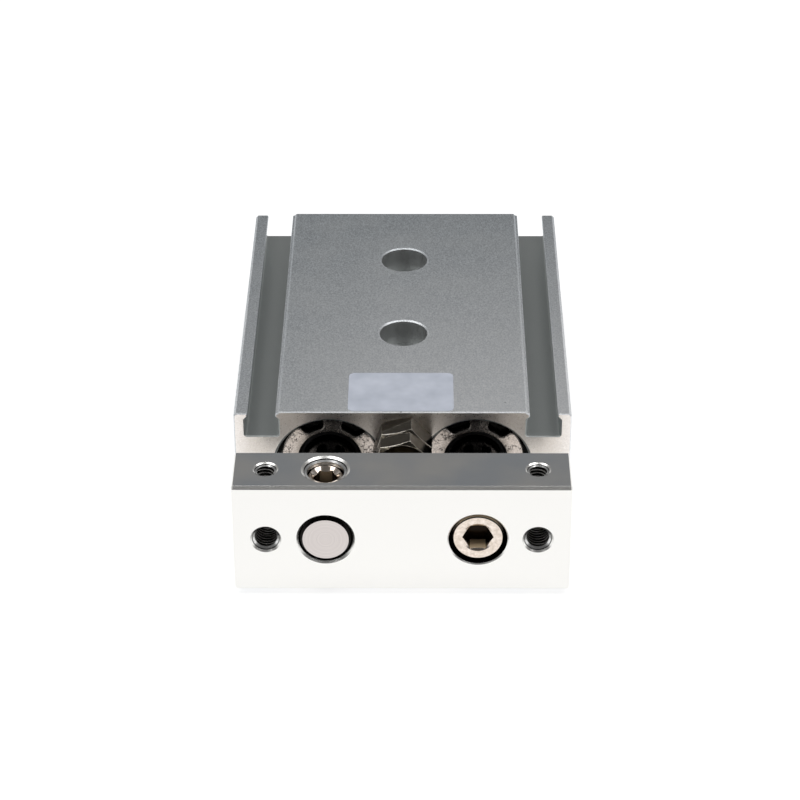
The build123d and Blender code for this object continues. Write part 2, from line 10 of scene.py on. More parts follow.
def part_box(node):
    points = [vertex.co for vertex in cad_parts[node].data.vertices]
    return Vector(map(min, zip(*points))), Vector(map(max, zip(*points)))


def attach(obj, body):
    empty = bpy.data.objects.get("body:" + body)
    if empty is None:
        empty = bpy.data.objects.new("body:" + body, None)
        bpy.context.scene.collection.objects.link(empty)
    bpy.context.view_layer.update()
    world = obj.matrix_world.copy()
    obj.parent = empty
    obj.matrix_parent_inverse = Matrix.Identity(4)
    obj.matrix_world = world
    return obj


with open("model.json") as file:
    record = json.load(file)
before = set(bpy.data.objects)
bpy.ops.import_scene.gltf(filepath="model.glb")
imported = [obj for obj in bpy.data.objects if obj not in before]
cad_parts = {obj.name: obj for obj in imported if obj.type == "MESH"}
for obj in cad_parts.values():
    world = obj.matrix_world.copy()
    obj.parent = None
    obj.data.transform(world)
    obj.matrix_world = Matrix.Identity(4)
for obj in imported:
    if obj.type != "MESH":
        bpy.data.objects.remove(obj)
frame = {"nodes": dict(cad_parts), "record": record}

bl_info = {
    "name": "Guided air cylinder",
    "version": (1, 0, 0),
    "blender": (4, 5, 0),
    "location": "View3D > Sidebar > Cylinder",
    "description": "Finishes, threads and label of a guided air cylinder with two rods",
    "category": "Object",
}

MM = 0.001
PHOTO_SIDE = 800
SENSOR = 36.0

# Bands over which one look fades into the next, in millimetres from the place named
SLOT_BAND = (-1.4, -1.0)     # from the housing's top down
SMEAR_BAND = (6.3, 7.6)      # from a rod's axis outward
TOP_SHADE_BAND = (6.8, 8.6)        # from the rods' axis up
POCKET_BAND = (0.3, 1.0)     # from a rod cover's front back
CHROME_BAND = (0.0, 5.0)     # from the plate's rear back
SHOULDER_BAND = (0.0, 0.3)   # from the cap bolt's rubbed face outward
CRESCENT_BAND = (0.0, 0.12)  # from the start of the shoulder's painted tan highlight outward
SOCKET_BAND = (0.6, 1.4)     # from the cap bolt's face back
SCREW_BAND = (-3.2, -0.8)    # from the set screw's top down
TURNING_BAND = (0.4, 2.2)    # from the rod end's middle outward

# Thread shape: steps in a turn, and lengths along the hole and ridge heights in pitches
TURN_STEPS = 40
CREST_HEIGHT = 0.54
RIDGE_START = 0.6
RIDGE_SPARE = 1.1
RUN_OUT = 3
SHARP_ANGLE = radians(30)

# Grey of the room by the height of a direction, from the floor's edge to straight up
ROOM_GREYS = ((0.0, 1.0), (0.06, 0.9), (0.2, 0.42), (0.5, 0.19), (0.7, 0.2), (1.0, 0.3))


def span(node, axis):
    """Lowest and highest place of a CAD node along one axis, in metres."""
    low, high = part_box(node)
    return low[axis], high[axis]


def middle(node, axis):
    """Place of a CAD node's middle along one axis, in metres."""
    return sum(span(node, axis)) / 2


HOUSING_FRONT, HOUSING_REAR = span("housing", 1)
HOUSING_TOP = span("housing", 2)[1]
HOUSING_SIDE = span("housing", 0)[1]
PLATE_LEFT, PLATE_RIGHT = span("tooling_plate", 0)
PLATE_FRONT, PLATE_REAR = span("tooling_plate", 1)
PLATE_MIDDLE = (PLATE_FRONT + PLATE_REAR) / 2
PLATE_BOTTOM, PLATE_TOP = span("tooling_plate", 2)
LEFT_ROD_X = middle("piston_rod_left", 0)
RIGHT_ROD_X = middle("piston_rod_right", 0)
AXIS_Z = middle("piston_rod_left", 2)


def linear(code):
    """An sRGB hex colour as linear values with full alpha."""
    parts = [int(code[place:place + 2], 16) / 255 for place in (1, 3, 5)]
    return [c / 12.92 if c <= 0.04045 else ((c + 0.055) / 1.055) ** 2.4 for c in parts] + [1.0]


def add(tree, kind, settings=None, links=None):
    """Add a node, set its sockets or properties, and link other nodes' outputs into it."""
    node = tree.nodes.new(kind)
    for name, value in (settings or {}).items():
        if isinstance(name, int) or name in node.inputs:
            node.inputs[name].default_value = value
        else:
            setattr(node, name, value)
    for name, source in (links or {}).items():
        tree.links.new(source, node.inputs[name])
    return node


def new_material(name, base, metallic, roughness, **more):
    """A material with one shader; returns its tree, its shader and its place on the piece."""
    material = bpy.data.materials.new(name)
    material.use_nodes = True
    tree = material.node_tree
    tree.nodes.clear()
    settings = {"Base Color": linear(base), "Metallic": metallic, "Roughness": roughness, **more}
    shader = add(tree, "ShaderNodeBsdfPrincipled", settings)
    add(tree, "ShaderNodeOutputMaterial", links={"Surface": shader.outputs[0]})
    place = add(tree, "ShaderNodeTexCoord")
    return material, tree, shader, place


def per_metre(millimetres):
    """A texture scale at which one feature has this size."""
    return 1 / (millimetres * MM)


def noise(tree, place, size, detail=2.0, rough=0.5, stretch=(1, 1, 1)):
    """Noise with features of this size in millimetres, drawn out along an axis by its stretch."""
    grown = add(tree, "ShaderNodeMapping", {"Scale": [1 / part for part in stretch]}, {"Vector": place})
    settings = {"Scale": per_metre(size), "Detail": detail, "Roughness": rough}
    return add(tree, "ShaderNodeTexNoise", settings, {"Vector": grown.outputs[0]}).outputs["Fac"]


def ramp(tree, value, low, high, start=0.0, end=1.0):
    """Stretch a value between two limits onto a new range, clamped."""
    settings = {"From Min": low, "From Max": high, "To Min": start, "To Max": end}
    return add(tree, "ShaderNodeMapRange", settings, {"Value": value}).outputs[0]


def mix(tree, amount, first, second):
    """Mix two colours; each is an output or a hex code."""
    node = add(tree, "ShaderNodeMix", {"data_type": "RGBA"})
    tree.links.new(amount, node.inputs[0])
    for socket, colour in ((6, first), (7, second)):
        if isinstance(colour, str):
            node.inputs[socket].default_value = linear(colour)
        else:
            tree.links.new(colour, node.inputs[socket])
    return node.outputs[2]


def math(tree, operation, first, second=0.0):
    """One arithmetic step on outputs or plain numbers."""
    node = add(tree, "ShaderNodeMath", {"operation": operation})
    for socket, value in enumerate((first, second)):
        if isinstance(value, (int, float)):
            node.inputs[socket].default_value = value
        else:
            tree.links.new(value, node.inputs[socket])
    return node.outputs[0]


def fade(tree, value, place, band, start=0.0, end=1.0):
    """Stretch a length over a band of millimetres that is counted from a place in metres."""
    return ramp(tree, value, place + band[0] * MM, place + band[1] * MM, start, end)


def parts_of(tree, vector):
    """The three parts of a vector, as outputs."""
    return add(tree, "ShaderNodeSeparateXYZ", links={0: vector}).outputs


def vectors(tree, operation, *sources):
    """One step on vectors; it gives a number for LENGTH and DOT_PRODUCT, and else a vector."""
    sockets = (0, "Scale") if operation == "SCALE" else (0, 1)
    node = add(tree, "ShaderNodeVectorMath", {"operation": operation}, dict(zip(sockets, sources)))
    return node.outputs["Value" if operation in ("LENGTH", "DOT_PRODUCT") else "Vector"]


def bump(tree, shader, height, depth, strength=1.0, over=None):
    """Give the shader a relief of this depth in millimetres, over another normal if one is given."""
    settings = {"Strength": strength, "Distance": depth * MM}
    node = add(tree, "ShaderNodeBump", settings, {"Height": height})
    if over:
        tree.links.new(over, node.inputs["Normal"])
    tree.links.new(node.outputs[0], shader.inputs["Normal"])


def soft_edge(tree, radius):
    """A normal that bends round each edge over this many millimetres, so that edges catch the light."""
    return add(tree, "ShaderNodeBevel", {"samples": 6, "Radius": radius * MM}).outputs[0]


def worn_edge(tree, rounded, low, high):
    """Mask of the edges: where the rounded normal leaves the flat one."""
    flat = add(tree, "ShaderNodeNewGeometry").outputs["True Normal"]
    return ramp(tree, vectors(tree, "DOT_PRODUCT", rounded, flat), 1 - low, 1 - high)


def tears(tree, spot, size, width, stretch):
    """Wandering lines where a noise crosses its middle; 0 on a line and 1 beside it."""
    level = noise(tree, spot, size, 4.0, 0.65, stretch)
    return ramp(tree, math(tree, "ABSOLUTE", math(tree, "SUBTRACT", level, 0.5)), 0.3 * width, width)


def specks(tree, spot, apart, size, share):
    """Mask of small round marks, this far apart and this large, with only a share of them kept."""
    cells = add(tree, "ShaderNodeTexVoronoi", {"Scale": per_metre(apart)}, {"Vector": spot})
    dot = ramp(tree, cells.outputs["Distance"], size / apart / 2, size / apart, 1.0, 0.0)
    pick = add(tree, "ShaderNodeSeparateColor", links={0: cells.outputs["Color"]}).outputs[0]
    return math(tree, "MULTIPLY", dot, math(tree, "GREATER_THAN", pick, 1 - share))


def facing(tree, place, axis, low=0.9, high=0.98):
    """Mask of the faces that look along one axis, either way."""
    along = parts_of(tree, place.outputs["Normal"])[axis]
    return ramp(tree, math(tree, "ABSOLUTE", along), low, high)


def outward(tree, spot, axis, centre):
    """Vector from a line along one axis out to the point, and its length."""
    parts = parts_of(tree, spot)
    arrow = add(tree, "ShaderNodeCombineXYZ")
    across = [number for number in range(3) if number != axis]
    for number, place in zip(across, centre):
        tree.links.new(math(tree, "SUBTRACT", parts[number], place), arrow.inputs[number])
    return arrow.outputs[0], vectors(tree, "LENGTH", arrow.outputs[0])


def turned_rings(tree, radius, width):
    """Turning marks: fine rings, from the distance to the axis."""
    line = add(tree, "ShaderNodeCombineXYZ", links={0: radius})
    return noise(tree, line.outputs[0], width, 3.0, 0.6)


def bored(tree, spot, axis, centre, radius):
    """Mask of what lies within this radius of a line along one axis: the inside of a bored hole."""
    away = outward(tree, spot, axis, centre)[1]
    return math(tree, "LESS_THAN", away, radius * MM)


def dress(nodes, material):
    """Give CAD nodes their material."""
    for name in nodes:
        piece = frame["nodes"][name]
        piece.data.materials.clear()
        piece.data.materials.append(material)


def both(stem):
    """The left and right node of a pair."""
    return [f"{stem}_left", f"{stem}_right"]


def keep(piece, body, material):
    """Finish a new piece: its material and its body."""
    piece.data.materials.append(material)
    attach(piece, body)
    return piece


def mesh_piece(name, points, faces, smooth=True):
    """A mesh object from points in metres."""
    mesh = bpy.data.meshes.new(name)
    mesh.from_pydata(points, [], faces)
    mesh.validate()
    if smooth:
        mesh.shade_smooth()
    piece = bpy.data.objects.new(name, mesh)
    bpy.context.scene.collection.objects.link(piece)
    return piece


def anodised_extrusion(finish):
    """Hard-anodised aluminium: a satin grey skin with fine grain, painted light that makes it paler in front,
    painted shade in its slots and holes, and bright cut ends.
    """
    material, tree, shader, place = new_material(
        "hard_anodised_extruded_aluminium", finish.skin, 1.0, finish.skin_roughness)
    spot = place.outputs["Object"]
    grain = noise(tree, spot, finish.grain, 3.0, 0.65, (1, 1.6, 1))
    cloud = noise(tree, spot, 9.0, 2.0)
    x, y, z = parts_of(tree, spot)
    # Painted light: the skin turns paler towards the front and towards the right
    ahead = ramp(tree, y, HOUSING_REAR, HOUSING_FRONT, 0.0, 0.9)
    right = ramp(tree, x, -HOUSING_SIDE, 0.0, 0.4, 1.0)
    lit = math(tree, "MULTIPLY", ahead, right)
    grained = ramp(tree, grain, 0.35, 0.68)
    lighter = mix(tree, lit, mix(tree, grained, finish.skin_dark, finish.skin),
                  mix(tree, grained, finish.skin_lit_dark, finish.skin_lit))
    clouded = mix(tree, ramp(tree, cloud, 0.35, 0.75, 0.0, 0.25), lighter, finish.skin_light)
    marked = mix(tree, specks(tree, spot, 11.0, 0.35, 0.55), clouded, finish.speck)
    aside = math(tree, "ABSOLUTE", x)
    margin = finish.cut_margin * MM
    inside_x = math(tree, "LESS_THAN", aside, HOUSING_SIDE - margin)
    # Painted shade: darker colours inside the slots and on the mounting holes' walls
    slot = math(tree, "MULTIPLY", inside_x, fade(tree, z, HOUSING_TOP, SLOT_BAND, 1.0, 0.0))
    steep = math(tree, "LESS_THAN", facing(tree, place, 2, 0.0, 1.0), 0.5)
    wall = math(tree, "MULTIPLY", math(tree, "LESS_THAN", aside, finish.hole_reach * MM), steep)
    skin = mix(tree, wall, mix(tree, slot, marked, finish.slot), finish.hole)
    past_front = math(tree, "LESS_THAN", y, HOUSING_FRONT + margin)
    past_rear = math(tree, "GREATER_THAN", y, HOUSING_REAR - margin)
    cut = math(tree, "MULTIPLY", facing(tree, place, 1), math(tree, "ADD", past_front, past_rear))
    tooling = noise(tree, spot, 0.3, 2.0, 0.6)
    cut_colour = mix(tree, ramp(tree, tooling, 0.3, 0.7), finish.cut_dark, finish.cut)
    tree.links.new(mix(tree, cut, skin, cut_colour), shader.inputs["Base Color"])
    skin_rough = ramp(tree, grain, 0.3, 0.7, finish.skin_roughness - 0.04, finish.skin_roughness + 0.06)
    smoother = math(tree, "MULTIPLY_ADD", cut, finish.cut_roughness - finish.skin_roughness)
    tree.links.new(skin_rough, smoother.node.inputs[2])
    tree.links.new(smoother, shader.inputs["Roughness"])
    relief = mix(tree, cut, grain, math(tree, "MULTIPLY", tooling, finish.cut_relief))
    bump(tree, shader, relief, 0.006, 0.6)
    return material


def milled_plate(finish, size):
    """Clear-anodised milled aluminium: bright and even, with a trace of the cutter's lines."""
    material, tree, shader, place = new_material(
        "clear_anodised_milled_aluminium", finish.plate, 1.0, finish.plate_roughness)
    spot = place.outputs["Object"]
    lines = noise(tree, spot, 0.25, 2.0, 0.5, (14, 1, 1))
    cloud = noise(tree, spot, 14.0, 2.0)
    clouded = math(tree, "MULTIPLY", ramp(tree, cloud, 0.38, 0.62, 1.0, 0.0), facing(tree, place, 2))
    colour = mix(tree, clouded, finish.plate, finish.plate_dark)
    # Painted shade: the walls of the plate's holes turn near black
    holes = [(1, (RIGHT_ROD_X, AXIS_Z), finish.cap_space), (2, (LEFT_ROD_X, PLATE_MIDDLE), size.set_size)]
    for x in (PLATE_LEFT + size.inset * MM, PLATE_RIGHT - size.inset * MM):
        holes += [(1, (x, AXIS_Z), size.front_size), (2, (x, PLATE_MIDDLE), size.top_size)]
    inside = 0.0
    for axis, centre, width in holes:
        wall = bored(tree, spot, axis, centre, width / 2 + finish.hole_spare)
        inside = math(tree, "MAXIMUM", inside, wall)
    tree.links.new(mix(tree, inside, colour, finish.bored), shader.inputs["Base Color"])
    rough = ramp(tree, lines, 0.3, 0.7, finish.plate_roughness - 0.01, finish.plate_roughness + 0.01)
    tree.links.new(rough, shader.inputs["Roughness"])
    bump(tree, shader, lines, 0.0006, 0.3)
    return material


def cast_cover(finish):
    """Cast aluminium, faced in a lathe: a bright land with fine tears, with painted shade on top and in its
    pockets.
    """
    material, tree, shader, place = new_material("cast_faced_aluminium", finish.cover, 0.85, 0.3)
    spot = place.outputs["Object"]
    fine = tears(tree, spot, 1.1, 0.021, (1, 1, 2.2))
    coarse = tears(tree, spot, 2.4, 0.013, (1.6, 1, 1))
    patch = ramp(tree, noise(tree, spot, 1.7, 2.0), 0.4, 0.52)
    whole = math(tree, "MULTIPLY", math(tree, "MAXIMUM", fine, patch), coarse)
    speckle = ramp(tree, noise(tree, spot, 0.3, 3.0, 0.7), 0.35, 0.65)
    mottle = mix(tree, speckle, finish.cover_dark, finish.cover)
    radius = outward(tree, vectors(tree, "ABSOLUTE", spot), 1, (RIGHT_ROD_X, AXIS_Z))[1]
    smear = ramp(tree, noise(tree, spot, 1.2, 3.0, 0.6), 0.35, 0.65, 0.4, 1.0)
    inner = math(tree, "MULTIPLY", fade(tree, radius, 0.0, SMEAR_BAND, 0.8, 0.0), smear)
    cracked = mix(tree, whole, finish.crack, mix(tree, inner, mottle, finish.cover_inner))
    parts = parts_of(tree, spot)
    # Painted shade: darker on the covers' top, and near black in their pockets
    painted_shade = mix(tree, fade(tree, parts[2], AXIS_Z, TOP_SHADE_BAND), cracked, finish.cover_top_shade)
    depth_shade = fade(tree, parts[1], span("rod_cover_left", 1)[0], POCKET_BAND)
    tree.links.new(mix(tree, depth_shade, painted_shade, finish.cover_pocket_shade), shader.inputs["Base Color"])
    tree.links.new(ramp(tree, whole, 0.0, 1.0, 0.55, 0.22), shader.inputs["Roughness"])
    bump(tree, shader, math(tree, "ADD", whole, math(tree, "MULTIPLY", patch, 0.4)), 0.02, 0.6)
    return material


def chromed_rod(finish):
    """Hard-chromed steel: a mirror along its length, kept dark as painted shade and darker behind the plate,
    with a painted dark rim and rings on the end.
    """
    material, tree, shader, place = new_material("hard_chromed_steel", finish.chrome, 1.0, 0.12)
    spot = place.outputs["Object"]
    radius = outward(tree, spot, 1, (LEFT_ROD_X, AXIS_Z))[1]
    turned = turned_rings(tree, radius, 0.16)
    end = facing(tree, place, 1)
    face = mix(tree, ramp(tree, turned, 0.35, 0.65), finish.rod_end_dark, finish.rod_end)
    y = parts_of(tree, spot)[1]
    # Painted shade: a near-black rim by the rod's end, and darker chrome behind the plate
    near_end = math(tree, "LESS_THAN", y, PLATE_FRONT + finish.rim_reach * MM)
    rim = math(tree, "MULTIPLY", near_end, math(tree, "SUBTRACT", 1.0, end))
    painted_shade = mix(tree, fade(tree, y, PLATE_REAR, CHROME_BAND), finish.chrome, finish.chrome_shade)
    shaft = mix(tree, rim, painted_shade, finish.rod_rim_shade)
    tree.links.new(mix(tree, end, shaft, face), shader.inputs["Base Color"])
    tree.links.new(ramp(tree, end, 0.0, 1.0, 0.1, 0.34), shader.inputs["Roughness"])
    polish = noise(tree, spot, 0.1, 1.0)
    centre = fade(tree, radius, 0.0, TURNING_BAND, 1.0, 0.25)
    marks = math(tree, "MULTIPLY", math(tree, "MULTIPLY", turned, centre), end)
    bump(tree, shader, math(tree, "ADD", marks, math(tree, "MULTIPLY", polish, 0.03)), 0.02, 0.5)
    return material


def nickel(name, colour, shade, roughness, edge, bare):
    """Nickel plating: warm and polished, a little mottled, its rounded edges rubbed bright."""
    material, tree, shader, place = new_material(name, colour, 1.0, roughness)
    spot = place.outputs["Object"]
    cloud = noise(tree, spot, 1.3, 3.0, 0.6)
    rounded = soft_edge(tree, edge)
    plated = mix(tree, ramp(tree, cloud, 0.35, 0.7), shade, colour)
    rubbed = worn_edge(tree, rounded, 0.004, 0.03)
    tree.links.new(mix(tree, rubbed, plated, bare), shader.inputs["Base Color"])
    tree.links.new(ramp(tree, cloud, 0.3, 0.7, roughness + 0.05, roughness), shader.inputs["Roughness"])
    bump(tree, shader, noise(tree, spot, 0.3, 2.0), 0.001, 0.4, rounded)
    return material


def socket_bolt(finish):
    """Bright nickel plating of the cap bolt: a dark shoulder, painted shade deep in the socket, and a painted
    tan highlight on the socket's lower facet and the shoulder's top.
    """
    material, tree, shader, place = new_material("bright_nickel_plated_bolt", finish.screw, 1.0, 0.14)
    spot = place.outputs["Object"]
    arrow, radius = outward(tree, spot, 1, (RIGHT_ROD_X, AXIS_Z))
    rubbed = outward(tree, spot, 1, (RIGHT_ROD_X, AXIS_Z - finish.face_drop * MM))[1]
    shoulder = fade(tree, rubbed, finish.face_radius * MM, SHOULDER_BAND, 0.0, 2.2)
    away = vectors(tree, "NORMALIZE", arrow)
    # Painted light: a tan highlight on the top of the shoulder
    lit_crescent = math(tree, "MULTIPLY", ramp(tree, parts_of(tree, away)[2], 0.2, 0.75),
                    fade(tree, radius, finish.lit_crescent * MM, CRESCENT_BAND))
    turned_down = math(tree, "MULTIPLY", shoulder, math(tree, "SUBTRACT", 1.0, lit_crescent))
    lean = vectors(tree, "SCALE", away, turned_down)
    normal = vectors(tree, "NORMALIZE", vectors(tree, "ADD", soft_edge(tree, 0.1), lean))
    cloud = ramp(tree, noise(tree, spot, 0.9, 3.0, 0.6), 0.35, 0.7)
    # Painted shade deep in the socket, and a painted tan highlight on its lower facet
    inner = math(tree, "LESS_THAN", radius, finish.socket_radius * MM)
    sunk = fade(tree, parts_of(tree, spot)[1], span("cap_bolt", 1)[0], SOCKET_BAND)
    depth_shade = math(tree, "MULTIPLY", sunk, inner)
    up = parts_of(tree, place.outputs["Normal"])[2]
    below = math(tree, "MULTIPLY", math(tree, "GREATER_THAN", up, 0.9), inner)
    plated = mix(tree, cloud, finish.screw_dark, finish.screw)
    darkened = mix(tree, depth_shade, plated, finish.socket)
    highlighted = math(tree, "MAXIMUM", below, lit_crescent)
    tree.links.new(mix(tree, highlighted, darkened, finish.grease), shader.inputs["Base Color"])
    tree.links.new(ramp(tree, highlighted, 0.0, 1.0, 1.0, 0.1), shader.inputs["Metallic"])
    tree.links.new(ramp(tree, cloud, 0.0, 1.0, 0.18, 0.13), shader.inputs["Roughness"])
    bump(tree, shader, noise(tree, spot, 0.3, 2.0), 0.001, 0.4, normal)
    return material


def socket_screw(finish):
    """Bright nickel plating of the set screw: painted light makes its socket's front facet brown, and painted
    shade darkens it to the sides and down.
    """
    material, tree, shader, place = new_material("bright_nickel_plated_screw", finish.screw, 1.0, 0.1)
    spot = place.outputs["Object"]
    radius = outward(tree, spot, 2, (LEFT_ROD_X, PLATE_MIDDLE))[1]
    # Painted light on the socket's front facet, painted shade on its other walls and further down
    upright = math(tree, "SUBTRACT", 1.0, facing(tree, place, 2, 0.1, 0.3))
    inner = math(tree, "MULTIPLY", math(tree, "LESS_THAN", radius, finish.set_reach * MM), upright)
    facet = mix(tree, facing(tree, place, 1, 0.7, 0.9), finish.socket, finish.lit_set_facet)
    depth_shade = fade(tree, parts_of(tree, spot)[2], span("set_screw", 2)[1], SCREW_BAND, 0.8, 0.0)
    sunk = mix(tree, depth_shade, facet, finish.socket)
    cloud = ramp(tree, noise(tree, spot, 1.3, 3.0, 0.6), 0.35, 0.7)
    plated = mix(tree, cloud, finish.screw_dark, finish.screw)
    tree.links.new(mix(tree, inner, plated, sunk), shader.inputs["Base Color"])
    tree.links.new(ramp(tree, inner, 0.0, 1.0, 1.0, 0.3), shader.inputs["Metallic"])
    bump(tree, shader, noise(tree, spot, 0.3, 2.0), 0.001, 0.4, soft_edge(tree, 0.1))
    return material


def phosphated(finish):
    """Phosphated spring steel: black and dry, with a fine crystal grain."""
    material, tree, shader, place = new_material("phosphated_spring_steel", finish.phosphate, 1.0, 0.5)
    grain = noise(tree, place.outputs["Object"], 0.18, 3.0, 0.7)
    tree.links.new(mix(tree, ramp(tree, grain, 0.4, 0.75), finish.phosphate, finish.phosphate_light),
                   shader.inputs["Base Color"])
    bump(tree, shader, grain, 0.008, 0.5)
    return material


def moulded_rubber(name, colour, light, roughness):
    """Moulded rubber: dark and soft-edged, with a faint bloom."""
    material, tree, shader, place = new_material(name, colour, 0.0, roughness, IOR=1.5)
    grain = noise(tree, place.outputs["Object"], 0.25, 2.0, 0.6)
    tree.links.new(mix(tree, ramp(tree, grain, 0.4, 0.8), colour, light), shader.inputs["Base Color"])
    bump(tree, shader, grain, 0.01, 0.4)
    return material


def turned_aluminium(name, colour, shade):
    """Turned aluminium: bright, with fine rings from the lathe."""
    material, tree, shader, place = new_material(name, colour, 1.0, 0.32)
    spot = place.outputs["Object"]
    lines = noise(tree, spot, 0.2, 2.0, 0.6, (12, 1, 12))
    tree.links.new(mix(tree, ramp(tree, lines, 0.3, 0.7), shade, colour), shader.inputs["Base Color"])
    bump(tree, shader, lines, 0.004, 0.5)
    return material


def tapped_aluminium(name, colour, shade, metallic=1.0):
    """Cut thread in aluminium: bright where the tap left it bare, dark where shade is painted on the flanks.
    """
    material, tree, shader, place = new_material(name, colour, metallic, 0.22)
    grain = noise(tree, place.outputs["Object"], 0.3, 2.0, 0.6)
    tree.links.new(mix(tree, ramp(tree, grain, 0.3, 0.7), shade, colour), shader.inputs["Base Color"])
    bump(tree, shader, grain, 0.004, 0.5)
    return material


def label_film(finish):
    """Polyester label: pale, satin and faintly cloudy under a clear film."""
    material, tree, shader, place = new_material("satin_polyester_film", finish.label, 0.0, 0.35, IOR=1.5)
    cloud = noise(tree, place.outputs["Object"], 5.0, 2.0)
    tree.links.new(mix(tree, ramp(tree, cloud, 0.3, 0.7), finish.label_dark, finish.label),
                   shader.inputs["Base Color"])
    bump(tree, shader, noise(tree, place.outputs["Object"], 1.2, 1.0), 0.004, 0.3)
    return material


def colour_property(name, code, description):
    """A property that holds one sRGB hex colour."""
    return StringProperty(name=name, default=code, description=description)


def length_property(name, millimetres, description):
    """A property that holds one length in millimetres."""
    return FloatProperty(name=name, default=millimetres, description=description, unit="NONE")


class CylinderFinish(bpy.types.PropertyGroup):
    """Colours and roughness of every surface."""

    skin: colour_property("Housing skin", "#d9dfe3", "Anodised skin of the extrusion")
    skin_dark: colour_property("Housing grain", "#a6abaf", "Darker grains in the skin")
    skin_light: colour_property("Housing smudges", "#e4e6e6", "Lighter smudges on the skin")
    skin_roughness: FloatProperty(name="Skin roughness", default=0.48, min=0.0, max=1.0,
                                  description="How matt the skin is", subtype="FACTOR")
    # Painted light: a paler copy of the skin and its grain, towards the front and the right
    skin_lit: colour_property("Worn skin", "#ffffff", "Skin rubbed paler towards the front")
    skin_lit_dark: colour_property("Worn grain", "#e8ebee", "Darker grains in the worn skin")
    # Painted shade: darker colours for the slots' insides and the mounting holes' walls
    slot: colour_property("Slots", "#b6bab9", "Inside of the sensor slots, as extruded")
    hole: colour_property("Mounting holes", "#c4c5c5", "Walls of the mounting holes")
    cut_margin: length_property("Cut margin", 0.5, "How near to the housing's ends its cut faces are")
    hole_reach: length_property("Mounting hole reach", 5.5, "Half width that holds the mounting holes")
    speck: colour_property("Specks", "#4c4d4d", "Small dark marks on the skin")
    grain: length_property("Grain", 0.28, "Width of a grain in the skin, in millimetres")
    cut: colour_property("Cut end", "#fdf8f4", "Machined ends of the housing")
    cut_dark: colour_property("Cut end lines", "#f0eae4", "Tool marks on the machined ends")
    cut_relief: FloatProperty(name="Cut relief", default=0.25, min=0.0, max=1.0,
                              description="Relief of the machined ends beside the skin's", subtype="FACTOR")
    cut_roughness: FloatProperty(name="Cut roughness", default=0.3, min=0.0, max=1.0,
                                 description="How matt the machined ends are", subtype="FACTOR")
    plate: colour_property("Plate", "#f2f1ee", "Milled plate")
    plate_dark: colour_property("Plate clouds", "#e0e4e8", "Faint clouds on the plate's top")
    # Painted shade: near-black walls of the plate's holes, also the grain of the threads' dark flanks
    bored: colour_property("Bored holes", "#2c2b2a", "Oil-dark walls of the plate's holes")
    thread: colour_property("Threads", "#e6e6e5", "Crests of the tapped threads")
    thread_dark: colour_property("Thread grain", "#cfcfce", "Grain in the crests")
    crest: colour_property("Dull crests", "#f2f1ee", "Oiled crests of the threads in front")
    crest_dark: colour_property("Dull crest grain", "#c9c7c3", "Grain in the oiled crests")
    # Painted shade: near-black flanks of every thread's ridges
    flank_shade: colour_property("Thread flanks", "#1c1b1a", "Oil-dark flanks of the threads in front")
    cap_space: length_property("Bolt space", 10.78, "Width of the cap bolt's counterbore")
    hole_spare: length_property("Hole spare", 0.04, "Added to a hole's radius so that its wall is caught")
    plate_roughness: FloatProperty(name="Plate roughness", default=0.26, min=0.0, max=1.0,
                                   description="How matt the plate is", subtype="FACTOR")
    cover: colour_property("Rod cover", "#fff6ef", "Faced land of the rod covers")
    cover_dark: colour_property("Rod cover mottle", "#ddd0c8", "Darker mottle in the land")
    cover_inner: colour_property("Cover smears", "#8f8880", "Grey smears round the covers' inner edge")
    # Painted shade: the covers' darker top and their near-black pockets
    cover_top_shade: colour_property("Oiled cover", "#67635f", "Top of the rod covers, dark with oil")
    cover_pocket_shade: colour_property("Cover pockets", "#1a1613", "Depth of the rod covers' pockets")
    crack: colour_property("Rod cover crazing", "#4a4541", "Dark lines in the land")
    # Painted shade: rod chrome kept dark for the dark it reflects, darker behind the plate, and near black on
    # the rim by the rod's end
    chrome: colour_property("Chrome", "#67686b", "Rods")
    chrome_shade: colour_property("Oiled chrome", "#404143", "Rods where they slide in oil")
    rod_rim_shade: colour_property("Rod rim", "#171615", "Oil-dark chamfer of the rod's end")
    rim_reach: length_property("Rod rim reach", 3.0, "Reach of the dark rim from the plate's front")
    rod_end: colour_property("Rod end", "#ddd6d3", "Turned end of the rod")
    rod_end_dark: colour_property("Rod end rings", "#c6bfbc", "Rings on the rod's end")
    head: colour_property("Head cover", "#cfcfcd", "Turned head covers")
    head_dark: colour_property("Head cover rings", "#b4b4b2", "Darker rings on the head covers")
    piston: colour_property("Piston", "#cdc9b8", "Turned pistons")
    piston_dark: colour_property("Piston rings", "#b2ae9e", "Darker rings on the pistons")
    screw: colour_property("Nickel", "#f1e6dc", "Screws")
    screw_dark: colour_property("Nickel mottle", "#d6c8ba", "Darker mottle on the screws")
    face_radius: length_property("Bolt face", 4.42, "Radius of the cap bolt's flat face, in millimetres")
    face_drop: length_property("Bolt face drop", 0.1, "How far the rubbed face sits below the bolt's axis")
    # Painted light: past this radius the shoulder's top takes the painted tan highlight
    lit_crescent: length_property("Bolt shoulder", 4.6, "Radius past which grease sits on the shoulder")
    socket_radius: length_property("Bolt socket", 3.05, "Radius that holds the cap bolt's socket")
    set_reach: length_property("Set screw socket", 2.4, "Radius that holds the set screw's socket")
    # Painted light: the set screw socket's brown front facet
    lit_set_facet: colour_property("Set screw facet", "#a8957b", "Facet of the set screw's socket")
    # Painted shade: the dark depth of both screws' sockets
    socket: colour_property("Socket", "#1d1712", "Dark depth of the cap bolt's socket")
